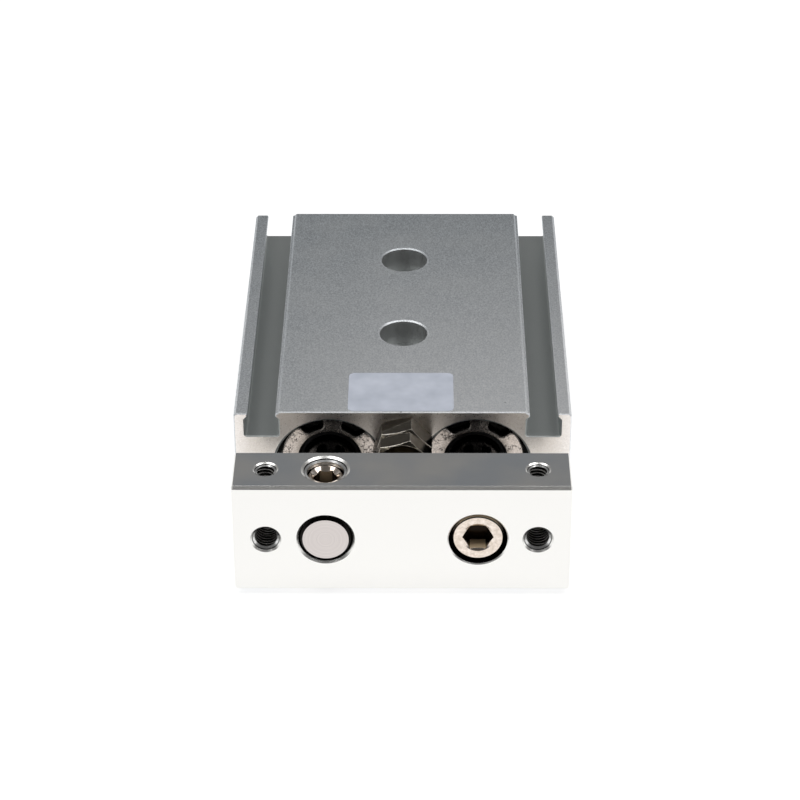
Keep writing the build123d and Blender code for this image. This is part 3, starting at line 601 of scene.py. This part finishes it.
    # Painted light: tan highlight on the cap bolt socket's lower facet and the shoulder's top
    grease: colour_property("Grease", "#f6dcb6", "Tan grease on the socket's lower facet")
    hexagon: colour_property("Dark nickel", "#716b61", "Adjusting bolt and nut")
    hexagon_edge: colour_property("Rubbed nickel", "#efe8dd", "Bare edges of the hexagons")
    hexagon_dark: colour_property("Dark nickel mottle", "#5d574d", "Darker mottle on the hexagons")
    phosphate: colour_property("Phosphate", "#161616", "Retaining rings")
    phosphate_light: colour_property("Phosphate grain", "#3b3b3a", "Lighter crystals on the rings")
    rubber: colour_property("Nitrile", "#0b0b0b", "Seals")
    rubber_light: colour_property("Nitrile bloom", "#1b1b1b", "Bloom on the seals")
    urethane: colour_property("Urethane", "#2e2718", "Pads and bumpers")
    urethane_light: colour_property("Urethane bloom", "#433a28", "Bloom on the pads")
    label: colour_property("Label", "#ccd1dd", "Label film")
    label_dark: colour_property("Label clouds", "#b4bac6", "Darker clouds in the label film")


class CylinderThreads(bpy.types.PropertyGroup):
    """Thread sizes in the plate and the ports, in millimetres."""

    front_size: length_property("Front thread", 5.0, "Outer diameter of the threads in the plate's front")
    front_pitch: length_property("Front pitch", 0.8, "Pitch of the threads in the plate's front")
    top_size: length_property("Top thread", 4.0, "Outer diameter of the threads in the plate's top")
    top_pitch: length_property("Top pitch", 0.7, "Pitch of the threads in the plate's top")
    top_depth: length_property("Top depth", 6.5, "Depth of the threads in the plate's top")
    port_size: length_property("Port thread", 5.0, "Outer diameter of the air ports' threads")
    port_pitch: length_property("Port pitch", 0.8, "Pitch of the air ports' threads")
    port_depth: length_property("Port depth", 5.4, "Depth of the air ports' threads")
    inset: length_property("Hole inset", 6.0, "From the plate's end to its tapped holes")
    front_mouth: length_property("Front mouth", 0.35, "Depth of the countersinks in the plate's front")
    top_mouth: length_property("Top mouth", 0.2, "Depth of the countersinks in the plate's top")
    port_mouth: length_property("Port mouth", 0.5, "Depth of the air ports' countersinks")
    set_size: length_property("Set thread", 8.0, "Outer diameter of the set screw's thread")
    set_pitch: length_property("Set pitch", 1.0, "Pitch of the set screw's thread")
    set_mouth: length_property("Set mouth", 0.29, "Depth of the countersink over the set screw")
    set_depth: length_property("Set depth", 0.8, "Depth of the thread that shows over the set screw")
    countersink: FloatProperty(name="Countersink", default=radians(30.0),
                               description="Slope of the top's countersinks", subtype="ANGLE")
    set_land: FloatProperty(name="Set land", default=0.75, min=0.15, max=1.0,
                            description="Reach of the set screw hole's first crest, in pitches")


class CylinderLabel(bpy.types.PropertyGroup):
    """Size and place of the bare label, in millimetres."""

    width: length_property("Width", 20.1, "Across the housing")
    length: length_property("Length", 13.8, "Along the housing")
    shift: length_property("Shift", -0.35, "From the housing's middle to the label's")
    set_back: length_property("Set back", 0.35, "From the housing's front edge")
    corner: length_property("Corner", 1.2, "Radius of its corners")
    thickness: length_property("Thickness", 0.05, "Thickness of the film")


class CylinderStage(bpy.types.PropertyGroup):
    """Camera, floor and lights."""

    camera_place: FloatVectorProperty(name="Camera", default=(3.65 * MM, -440.97 * MM, 286.08 * MM),
                                      description="Place of the camera", subtype="TRANSLATION", unit="LENGTH")
    yaw: FloatProperty(name="Yaw", default=radians(-0.57), description="Turn of the view to the side",
                       subtype="ANGLE")
    down: FloatProperty(name="Down", default=radians(32.03), description="How far the view looks down",
                        subtype="ANGLE")
    roll: FloatProperty(name="Roll", default=radians(-0.25), description="Turn of the picture",
                        subtype="ANGLE")
    focal: FloatProperty(name="Focal length", default=2586.74, description="Focal length in photo pixels",
                         subtype="PIXEL")
    softbox_power: FloatProperty(name="Softboxes", default=1.5, description="Power of each softbox",
                                 unit="POWER")
    softbox_side: FloatProperty(name="Softbox side", default=0.42, description="Side of each softbox",
                                unit="LENGTH")
    softbox_reach: FloatProperty(name="Softbox reach", default=0.6,
                                 description="From the part to each softbox", unit="LENGTH")
    softbox_ahead: FloatProperty(name="Softbox ahead", default=0.08,
                                 description="From the part's middle forward", unit="LENGTH")
    softbox_tilt: FloatProperty(name="Softbox tilt", default=radians(60.0),
                                description="Height of each softbox above the horizon", subtype="ANGLE")
    floor_side: FloatProperty(name="Floor side", default=8.0, description="Side of the floor", unit="LENGTH")
    floor_drop: FloatProperty(name="Floor drop", default=0.05 * MM, description="From the part down to it",
                              unit="LENGTH", precision=5)
    floor_colour: colour_property("Floor", "#a9a9a9", "Floor under the part's shadow")
    floor_glow: FloatProperty(name="Floor glow", default=0.76,
                              description="White that the floor adds by itself")


class AIRCYL_OT_housing(bpy.types.Operator):
    """Finish the housing"""

    bl_idname = "aircyl.housing"
    bl_label = "Housing"

    def execute(self, context):
        dress(["housing"], anodised_extrusion(context.scene.cylinder_finish))
        return {"FINISHED"}


class AIRCYL_OT_plate(bpy.types.Operator):
    """Finish the tooling plate"""

    bl_idname = "aircyl.plate"
    bl_label = "Tooling plate"

    def execute(self, context):
        scene = context.scene
        dress(["tooling_plate"], milled_plate(scene.cylinder_finish, scene.cylinder_threads))
        return {"FINISHED"}


class AIRCYL_OT_rods(bpy.types.Operator):
    """Finish the rods, pistons and covers"""

    bl_idname = "aircyl.rods"
    bl_label = "Rods, pistons and covers"

    def execute(self, context):
        finish = context.scene.cylinder_finish
        dress(both("piston_rod"), chromed_rod(finish))
        dress(both("rod_cover"), cast_cover(finish))
        dress(both("head_cover"), turned_aluminium("turned_aluminium_cover", finish.head, finish.head_dark))
        dress(both("piston"), turned_aluminium("turned_aluminium_piston", finish.piston, finish.piston_dark))
        dress(both("piston_magnet"), phosphated(finish))
        return {"FINISHED"}


class AIRCYL_OT_screws(bpy.types.Operator):
    """Finish the screws, the hexagons and the retaining rings"""

    bl_idname = "aircyl.screws"
    bl_label = "Screws and rings"

    def execute(self, context):
        finish = context.scene.cylinder_finish
        plated = nickel("bright_nickel_plated_steel", finish.screw, finish.screw_dark, 0.1, 0.1, finish.screw)
        dark = nickel("dark_nickel_plated_steel", finish.hexagon, finish.hexagon_dark, 0.12, 0.16,
                      finish.hexagon_edge)
        dress(["cap_bolt"], socket_bolt(finish))
        dress(["set_screw"], socket_screw(finish))
        dress(["port_plugs"], plated)
        dress(["adjusting_bolt", "lock_nut"], dark)
        dress(both("front_retaining_ring") + both("rear_retaining_ring"), phosphated(finish))
        return {"FINISHED"}


class AIRCYL_OT_seals(bpy.types.Operator):
    """Finish the seals, pads and bumpers"""

    bl_idname = "aircyl.seals"
    bl_label = "Seals and pads"

    def execute(self, context):
        finish = context.scene.cylinder_finish
        nitrile = moulded_rubber("moulded_nitrile", finish.rubber, finish.rubber_light, 0.55)
        urethane = moulded_rubber("moulded_urethane", finish.urethane, finish.urethane_light, 0.4)
        for stem in ("rod_seal", "cover_o_ring", "head_o_ring", "piston_seal"):
            dress(both(stem), nitrile)
        dress(both("piston_bumper") + ["bolt_bumper"], urethane)
        return {"FINISHED"}


def thread(name, mouth, inward, size, pitch, slope, length, body, slot, metals, land=0.15):
    """An inner thread: a closed ring that carries the countersink on, then the helix behind it."""
    steps = TURN_STEPS
    wall = size / 2 * MM
    across = inward.orthogonal().normalized()
    other = inward.cross(across)
    points = []
    faces = []

    def cut_through(angle, height, share, profile):
        radial = across * cos(angle) + other * sin(angle)
        for rise, along in profile:
            reach = wall - CREST_HEIGHT * pitch * MM * rise * share
            points.append(mouth + inward * ((height + along) * pitch * MM) + radial * reach)

    lead = CREST_HEIGHT * slope
    ring = ((0.15, 0.18), (1.0, lead + 0.05), (1.0, lead + land), (0.0, lead + land + 0.3))
    ridge = ((0.0, -0.44), (1.0, -0.14), (1.0, 0.14), (0.0, 0.44))
    sides = len(ridge)
    for step in range(steps):
        cut_through(tau * step / steps, 0.0, 1.0, ring)
        low, high = sides * step, sides * ((step + 1) % steps)
        for side in range(sides):
            near, far = side, (side + 1) % sides
            faces.append((low + near, low + far, high + far, high + near))
    count = ceil((length / pitch - lead - RIDGE_SPARE) * steps)
    first = len(points)
    lead_faces = len(faces)
    for step in range(count + 1):
        share = min(1.0, RUN_OUT * step / steps + 0.05, RUN_OUT * (count - step) / steps + 0.05)
        cut_through(tau * step / steps, step / steps + lead + RIDGE_START, share, ridge)
    for step in range(count):
        low = first + sides * step
        for side in range(sides):
            near, far = low + side, low + (side + 1) % sides
            faces.append((near, far, far + sides, near + sides))
    if count > 0:
        last = first + sides * count
        faces.append(tuple(range(first + sides - 1, first - 1, -1)))
        faces.append(tuple(range(last, last + sides)))
    piece = keep(mesh_piece(name, points, faces), body, metals[0])
    piece.data.set_sharp_from_angle(angle=SHARP_ANGLE)
    for metal in metals[1:]:
        piece.data.materials.append(metal)
    # Painted shade: the first side of each ridge takes the near-black third material
    for number, face in enumerate(piece.data.polygons[lead_faces:]):
        face.material_index = 2 if number % sides == 0 else 1
    return piece


class AIRCYL_OT_threads(bpy.types.Operator):
    """Cut the visible threads in the plate and the left ports"""

    bl_idname = "aircyl.threads"
    bl_label = "Threads"

    def execute(self, context):
        size = context.scene.cylinder_threads
        finish = context.scene.cylinder_finish
        cut = tapped_aluminium("tapped_aluminium", finish.thread, finish.thread_dark)
        # Painted shade: the near-black material for the threads' flanks
        painted_shade = tapped_aluminium("shaded_tapped_aluminium", finish.flank_shade, finish.bored)
        dull = tapped_aluminium("dull_tapped_aluminium", finish.crest, finish.crest_dark, 0.3)
        inset = size.inset * MM
        shallow = tan(size.countersink)
        through = (PLATE_REAR - PLATE_FRONT) / MM - 2 * size.front_mouth
        for side, x in (("left", PLATE_LEFT + inset), ("right", PLATE_RIGHT - inset)):
            mouth = Vector((x, PLATE_FRONT + size.front_mouth * MM, AXIS_Z))
            thread(f"front_thread_{side}", mouth, Vector((0, 1, 0)), size.front_size, size.front_pitch, 1.0,
                   through, "carriage", "plate_aluminium", (cut, dull, painted_shade))
            for face, z, way in (("top", PLATE_TOP, -1), ("bottom", PLATE_BOTTOM, 1)):
                mouth = Vector((x, PLATE_MIDDLE, z + way * size.top_mouth * MM))
                thread(f"{face}_thread_{side}", mouth, Vector((0, 0, way)), size.top_size, size.top_pitch,
                       shallow, size.top_depth - size.top_mouth, "carriage", "plate_aluminium",
                       (cut, dull, painted_shade))
        mouth = Vector((LEFT_ROD_X, PLATE_MIDDLE, PLATE_TOP - size.set_mouth * MM))
        thread("set_screw_thread", mouth, Vector((0, 0, -1)), size.set_size, size.set_pitch, shallow,
               size.set_depth, "carriage", "plate_aluminium", (cut, cut, painted_shade), size.set_land)
        left = span("housing", 0)[0]
        for mount in frame["record"]["mounts"]:
            if mount["name"].endswith("_air_port"):
                mouth = Vector((left + size.port_mouth * MM, *mount["pos_m"][1:]))
                thread(f"{mount['name']}_thread", mouth, Vector((1, 0, 0)), size.port_size, size.port_pitch,
                       1.0, size.port_depth - size.port_mouth, "housing", "anodised_housing",
                       (cut, cut, painted_shade))
        return {"FINISHED"}


class AIRCYL_OT_label(bpy.types.Operator):
    """Stick the bare label on the housing's top"""

    bl_idname = "aircyl.label"
    bl_label = "Label"

    def execute(self, context):
        size = context.scene.cylinder_label
        half_x = size.width / 2 * MM
        half_y = size.length / 2 * MM
        corner = size.corner * MM
        centre = Vector((size.shift * MM, HOUSING_FRONT + size.set_back * MM + half_y, HOUSING_TOP))
        rim = []
        for quarter, (way_x, way_y) in enumerate(((1, 1), (-1, 1), (-1, -1), (1, -1))):
            for step in range(9):
                angle = (quarter + step / 8) * pi / 2
                x = way_x * (half_x - corner) + corner * cos(angle)
                y = way_y * (half_y - corner) + corner * sin(angle)
                rim.append(centre + Vector((x, y, 0)))
        film = bmesh.new()
        outline = [film.verts.new(point) for point in rim]
        bottom = film.faces.new(outline)
        grown = bmesh.ops.extrude_face_region(film, geom=[bottom])
        for corner_point in [item for item in grown["geom"] if isinstance(item, bmesh.types.BMVert)]:
            corner_point.co.z += size.thickness * MM
        bmesh.ops.recalc_face_normals(film, faces=film.faces)
        mesh = bpy.data.meshes.new("label")
        film.to_mesh(mesh)
        film.free()
        piece = bpy.data.objects.new("label", mesh)
        context.scene.collection.objects.link(piece)
        keep(piece, "housing", label_film(context.scene.cylinder_finish))
        return {"FINISHED"}


def add_camera(stage):
    """The camera at the photo's viewing angle."""
    data = bpy.data.cameras.new("camera")
    data.sensor_width = SENSOR
    data.lens = stage.focal / PHOTO_SIDE * SENSOR
    data.clip_start = 0.01
    data.clip_end = 50.0
    camera = bpy.data.objects.new("camera", data)
    ahead = Vector((sin(stage.yaw) * cos(stage.down), cos(stage.yaw) * cos(stage.down), -sin(stage.down)))
    level = Vector((cos(stage.yaw), -sin(stage.yaw), 0))
    upright = level.cross(ahead)
    right = cos(stage.roll) * level + sin(stage.roll) * upright
    up = cos(stage.roll) * upright - sin(stage.roll) * level
    turn = Matrix((right, up, -ahead)).transposed().to_4x4()
    camera.matrix_world = Matrix.Translation(stage.camera_place) @ turn
    bpy.context.scene.collection.objects.link(camera)
    bpy.context.scene.camera = camera


def add_world():
    """Room light: white at the floor's edge, darker up to the walls, paler overhead."""
    world = bpy.data.worlds.new("studio")
    bpy.context.scene.world = world
    world.use_nodes = True
    tree = world.node_tree
    tree.nodes.clear()
    direction = add(tree, "ShaderNodeTexCoord")
    parts = parts_of(tree, direction.outputs["Generated"])
    level = add(tree, "ShaderNodeValToRGB", links={0: ramp(tree, parts[2], 0.0, 1.0)})
    bar = level.color_ramp
    while len(bar.elements) < len(ROOM_GREYS):
        bar.elements.new(0.5)
    for element, (place, grey) in zip(bar.elements, ROOM_GREYS):
        element.position = place
        element.color = (grey, grey, grey, 1)
    front = ramp(tree, parts[1], -0.75, -0.1, 0.35, 1.0)
    height = ramp(tree, parts[2], 0.02, 0.12)
    darker = math(tree, "MULTIPLY_ADD", height, math(tree, "SUBTRACT", front, 1.0))
    darker.node.inputs[2].default_value = 1.0
    scaled = vectors(tree, "SCALE", level.outputs[0], darker)
    room = add(tree, "ShaderNodeBackground", {"Strength": 1.0}, {"Color": scaled})
    add(tree, "ShaderNodeOutputWorld", links={"Surface": room.outputs[0]})


def add_floor(stage):
    """A plain white floor that keeps a soft shadow."""
    half = stage.floor_side / 2
    rim = [(-half, -half, 0), (half, -half, 0), (half, half, 0), (-half, half, 0)]
    floor = mesh_piece("floor", rim, [(0, 1, 2, 3)], smooth=False)
    floor.location.z = -stage.floor_drop
    material, tree, shader, place = new_material("white_sweep", stage.floor_colour, 0.0, 0.9)
    distance = vectors(tree, "LENGTH", place.outputs["Object"])
    glow = ramp(tree, distance, 0.12, 0.6, stage.floor_glow, 1.0)
    seen = add(tree, "ShaderNodeLightPath")
    shown = math(tree, "MAXIMUM", seen.outputs["Is Camera Ray"], seen.outputs["Is Glossy Ray"])
    shown = math(tree, "MAXIMUM", shown, seen.outputs["Is Transmission Ray"])
    tree.links.new(math(tree, "MULTIPLY", shown, glow), shader.inputs["Emission Strength"])
    shader.inputs["Emission Color"].default_value = (1, 1, 1, 1)
    floor.data.materials.append(material)


def add_softbox(name, place, target, side, power):
    """A square lamp that looks at a point."""
    lamp = bpy.data.lights.new(name, "AREA")
    lamp.shape = "SQUARE"
    lamp.size = side
    lamp.energy = power
    piece = bpy.data.objects.new(name, lamp)
    piece.location = place
    piece.rotation_euler = (Vector(target) - Vector(place)).to_track_quat("-Z", "Y").to_euler()
    bpy.context.scene.collection.objects.link(piece)


class AIRCYL_OT_stage(bpy.types.Operator):
    """Set up the camera, the floor, the room and the lamps"""

    bl_idname = "aircyl.stage"
    bl_label = "Stage"

    def execute(self, context):
        stage = context.scene.cylinder_stage
        context.scene.view_settings.view_transform = "Standard"
        add_camera(stage)
        add_world()
        add_floor(stage)
        up = stage.softbox_reach * sin(stage.softbox_tilt)
        aside = stage.softbox_reach * cos(stage.softbox_tilt)
        for name, x in (("softbox_left", -aside), ("softbox_right", aside)):
            place = (x, -stage.softbox_ahead, up)
            add_softbox(name, place, (0, 0, 0), stage.softbox_side, stage.softbox_power)
        return {"FINISHED"}


STEPS = (AIRCYL_OT_stage, AIRCYL_OT_housing, AIRCYL_OT_plate, AIRCYL_OT_rods, AIRCYL_OT_screws,
         AIRCYL_OT_seals, AIRCYL_OT_threads, AIRCYL_OT_label)
GROUPS = {
    "cylinder_finish": CylinderFinish,
    "cylinder_threads": CylinderThreads,
    "cylinder_label": CylinderLabel,
    "cylinder_stage": CylinderStage,
}


class AIRCYL_PT_panel(bpy.types.Panel):
    """Steps and sizes of the cylinder"""

    bl_idname = "AIRCYL_PT_panel"
    bl_label = "Guided air cylinder"
    bl_space_type = "VIEW_3D"
    bl_region_type = "UI"
    bl_category = "Cylinder"

    def draw(self, context):
        for step in STEPS:
            self.layout.operator(step.bl_idname)
        for name, group in GROUPS.items():
            box = self.layout.box()
            for setting in group.__annotations__:
                box.prop(getattr(context.scene, name), setting)


def register():
    for group in GROUPS.values():
        bpy.utils.register_class(group)
    for name, group in GROUPS.items():
        setattr(bpy.types.Scene, name, PointerProperty(type=group))
    for step in STEPS:
        bpy.utils.register_class(step)
    bpy.utils.register_class(AIRCYL_PT_panel)


def unregister():
    bpy.utils.unregister_class(AIRCYL_PT_panel)
    for step in reversed(STEPS):
        bpy.utils.unregister_class(step)
    for name, group in GROUPS.items():
        delattr(bpy.types.Scene, name)
        bpy.utils.unregister_class(group)


def main():
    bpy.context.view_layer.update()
    register()
    for step in STEPS:
        group, name = step.bl_idname.split(".")
        getattr(getattr(bpy.ops, group), name)()


if __name__ == "__main__":
    main()
